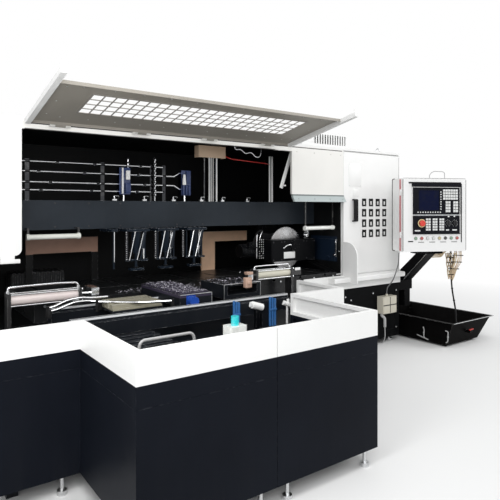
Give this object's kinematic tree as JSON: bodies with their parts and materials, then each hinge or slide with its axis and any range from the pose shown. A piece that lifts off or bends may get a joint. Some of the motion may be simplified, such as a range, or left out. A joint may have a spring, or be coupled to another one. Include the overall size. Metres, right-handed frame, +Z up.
{
  "type": "plate sawing machine",
  "caption": "Enclosed plate saw with a travelling blade under a cross beam, guarded feeding bay, lifting grid flap, electric cabinet and control box on an arm",
  "frame": {"origin": "on the floor, under the middle of the box round the whole machine", "axes": "+X along the machine to the operator's right, +Y from the operator's side to the back, +Z up"},
  "size_m": [5.73, 3.3, 2.4209],
  "materials": {
    "white_coat": "powder-coated",
    "base_coat": "satin",
    "guard_coat": "satin",
    "header_coat": "satin",
    "beam_coat": "satin",
    "machinery_coat": "satin",
    "flap_coat": "satin",
    "mesh_coat": "satin",
    "table_iron": "machined",
    "feed_coat": "satin",
    "blade_steel": "brushed",
    "bright_steel": "polished",
    "pipe_steel": "brushed",
    "hold_down_coat": "satin",
    "clamp_barrel_coat": "satin",
    "lamp_tube": "gloss",
    "oil_tank": "gloss",
    "handle_plastic": "matte",
    "tank_coat": "satin",
    "valve_red": "gloss",
    "junction_coat": "satin",
    "box_coat": "powder-coated",
    "panel_face": "satin",
    "stop_red": "gloss",
    "knob_plastic": "matte",
    "button_green": "gloss",
    "button_red": "gloss",
    "button_yellow": "gloss",
    "button_white": "gloss",
    "button_black": "gloss",
    "arm_coat": "satin",
    "cable_sheath": "matte",
    "hose_rubber": "matte"
  },
  "bodies": {
    "machine": {"apron": "white_coat", "bed_frame": "base_coat", "cabinet_shell": "white_coat", "clamp_cylinder_left": "clamp_barrel_coat", "clamp_cylinder_right": "clamp_barrel_coat", "control_cable": "cable_sheath", "control_housing": "box_coat", "coolant_tank": "tank_coat", "cross_beam": "beam_coat", "enclosure_shell": "white_coat", "feed_bed": "feed_coat", "front_header": "header_coat", "guard_panel_centre_left": "guard_coat", "guard_panel_centre_right": "guard_coat", "guard_panel_left": "guard_coat", "guard_panel_right": "guard_coat", "guard_panel_step_left": "guard_coat", "guard_panel_step_right": "guard_coat", "guard_trim_centre_left": "white_coat", "guard_trim_centre_right": "white_coat", "guard_trim_left": "white_coat", "guard_trim_right": "white_coat", "hold_down_guides": "hold_down_coat", "junction_box": "junction_coat", "left_end_cover": "white_coat", "levelling_feet": "pipe_steel", "lubricator": "oil_tank", "panel_hose": "hose_rubber", "pipe_manifold": "pipe_steel", "roof_vent": "header_coat", "support_arm": "arm_coat", "work_lamps": "lamp_tube", "work_table": "table_iron"},
    "flap": {"flap_frame": "flap_coat", "flap_mesh": "mesh_coat"},
    "cabinet_door": {"cabinet_door": "white_coat", "door_handle": "handle_plastic"},
    "saw_carriage": {"saw_carriage": "machinery_coat"},
    "saw_head": {"saw_head": "machinery_coat"},
    "saw_blade": {"saw_blade": "blade_steel", "blade_flange": "bright_steel"},
    "hold_down_foot_1": {"hold_down_foot_1": "bright_steel"},
    "hold_down_foot_2": {"hold_down_foot_2": "bright_steel"},
    "hold_down_foot_3": {"hold_down_foot_3": "bright_steel"},
    "clamp_rod_left": {"clamp_rod_left": "bright_steel"},
    "clamp_rod_right": {"clamp_rod_right": "bright_steel"},
    "control_door": {"control_door": "box_coat", "operator_panel": "panel_face"},
    "emergency_stop": {"emergency_stop": "stop_red"},
    "feed_knob": {"feed_knob": "knob_plastic"},
    "speed_knob": {"speed_knob": "knob_plastic"},
    "tank_tap_lever": {"tank_tap_lever": "valve_red"},
    "push_button_1": {"push_button_1": "button_green"},
    "push_button_2": {"push_button_2": "button_red"},
    "push_button_3": {"push_button_3": "button_white"},
    "push_button_4": {"push_button_4": "button_white"},
    "push_button_5": {"push_button_5": "button_yellow"},
    "push_button_6": {"push_button_6": "button_black"},
    "push_button_7": {"push_button_7": "button_green"},
    "push_button_8": {"push_button_8": "button_red"}
  },
  "joints": [
    {"name": "flap_hinge", "type": "hinge", "parent": "machine", "child": "flap", "pos_m": [-1.1, 0.168, 2.19], "axis": [1, 0, 0], "range_deg": [0, 100]},
    {"name": "cabinet_door_hinge", "type": "hinge", "parent": "machine", "child": "cabinet_door", "pos_m": [1.913, 0.212, 1.5], "axis": [0, 0, 1], "range_deg": [0, 20]},
    {"name": "saw_travel", "type": "slide", "parent": "machine", "child": "saw_carriage", "axis": [1, 0, 0], "range_m": [-2, 0]},
    {"name": "saw_lift", "type": "slide", "parent": "saw_carriage", "child": "saw_head", "axis": [0, 0, 1], "range_m": [-0.09, 0]},
    {"name": "blade_spin", "type": "hinge", "parent": "saw_head", "child": "saw_blade", "pos_m": [0.525, 0.65, 1.136], "axis": [0, 1, 0], "continuous": true},
    {"name": "hold_down_1", "type": "slide", "parent": "machine", "child": "hold_down_foot_1", "axis": [0, 0, -1], "range_m": [0, 0.125]},
    {"name": "hold_down_2", "type": "slide", "parent": "machine", "child": "hold_down_foot_2", "axis": [0, 0, -1], "range_m": [0, 0.125]},
    {"name": "hold_down_3", "type": "slide", "parent": "machine", "child": "hold_down_foot_3", "axis": [0, 0, -1], "range_m": [0, 0.125]},
    {"name": "clamp_left", "type": "slide", "parent": "machine", "child": "clamp_rod_left", "axis": [1, 0, 0], "range_m": [0, 0.16]},
    {"name": "clamp_right", "type": "slide", "parent": "machine", "child": "clamp_rod_right", "axis": [-1, 0, 0], "range_m": [0, 0.16]},
    {"name": "control_door_hinge", "type": "hinge", "parent": "machine", "child": "control_door", "pos_m": [1.54163, -0.10798, 1.5], "axis": [0, 0, -1], "range_deg": [0, 105]},
    {"name": "emergency_stop_press", "type": "slide", "parent": "control_door", "child": "emergency_stop", "axis": [0.4195, 0.9078, 0], "range_m": [0, 0.005]},
    {"name": "feed_knob_turn", "type": "hinge", "parent": "control_door", "child": "feed_knob", "pos_m": [2.01023, -0.38839, 1.407], "axis": [0.4195, 0.9078, 0], "range_deg": [-120, 120]},
    {"name": "speed_knob_turn", "type": "hinge", "parent": "control_door", "child": "speed_knob", "pos_m": [2.08829, -0.42446, 1.407], "axis": [0.4195, 0.9078, 0], "range_deg": [-120, 120]},
    {"name": "push_button_1_press", "type": "slide", "parent": "control_door", "child": "push_button_1", "axis": [0.4195, 0.9078, 0], "range_m": [0, 0.004], "stiffness_N_per_m": 800},
    {"name": "push_button_2_press", "type": "slide", "parent": "control_door", "child": "push_button_2", "axis": [0.4195, 0.9078, 0], "range_m": [0, 0.004], "stiffness_N_per_m": 800},
    {"name": "push_button_3_press", "type": "slide", "parent": "control_door", "child": "push_button_3", "axis": [0.4195, 0.9078, 0], "range_m": [0, 0.004], "stiffness_N_per_m": 800},
    {"name": "push_button_4_press", "type": "slide", "parent": "control_door", "child": "push_button_4", "axis": [0.4195, 0.9078, 0], "range_m": [0, 0.004], "stiffness_N_per_m": 800},
    {"name": "push_button_5_press", "type": "slide", "parent": "control_door", "child": "push_button_5", "axis": [0.4195, 0.9078, 0], "range_m": [0, 0.004], "stiffness_N_per_m": 800},
    {"name": "push_button_6_press", "type": "slide", "parent": "control_door", "child": "push_button_6", "axis": [0.4195, 0.9078, 0], "range_m": [0, 0.004], "stiffness_N_per_m": 800},
    {"name": "push_button_7_press", "type": "slide", "parent": "control_door", "child": "push_button_7", "axis": [0.4195, 0.9078, 0], "range_m": [0, 0.004], "stiffness_N_per_m": 800},
    {"name": "push_button_8_press", "type": "slide", "parent": "control_door", "child": "push_button_8", "axis": [0.4195, 0.9078, 0], "range_m": [0, 0.004], "stiffness_N_per_m": 800},
    {"name": "tank_tap_turn", "type": "hinge", "parent": "machine", "child": "tank_tap_lever", "pos_m": [2.385, -0.4314, 0.17], "axis": [0, 0, -1], "range_deg": [0, 90]}
  ]
}
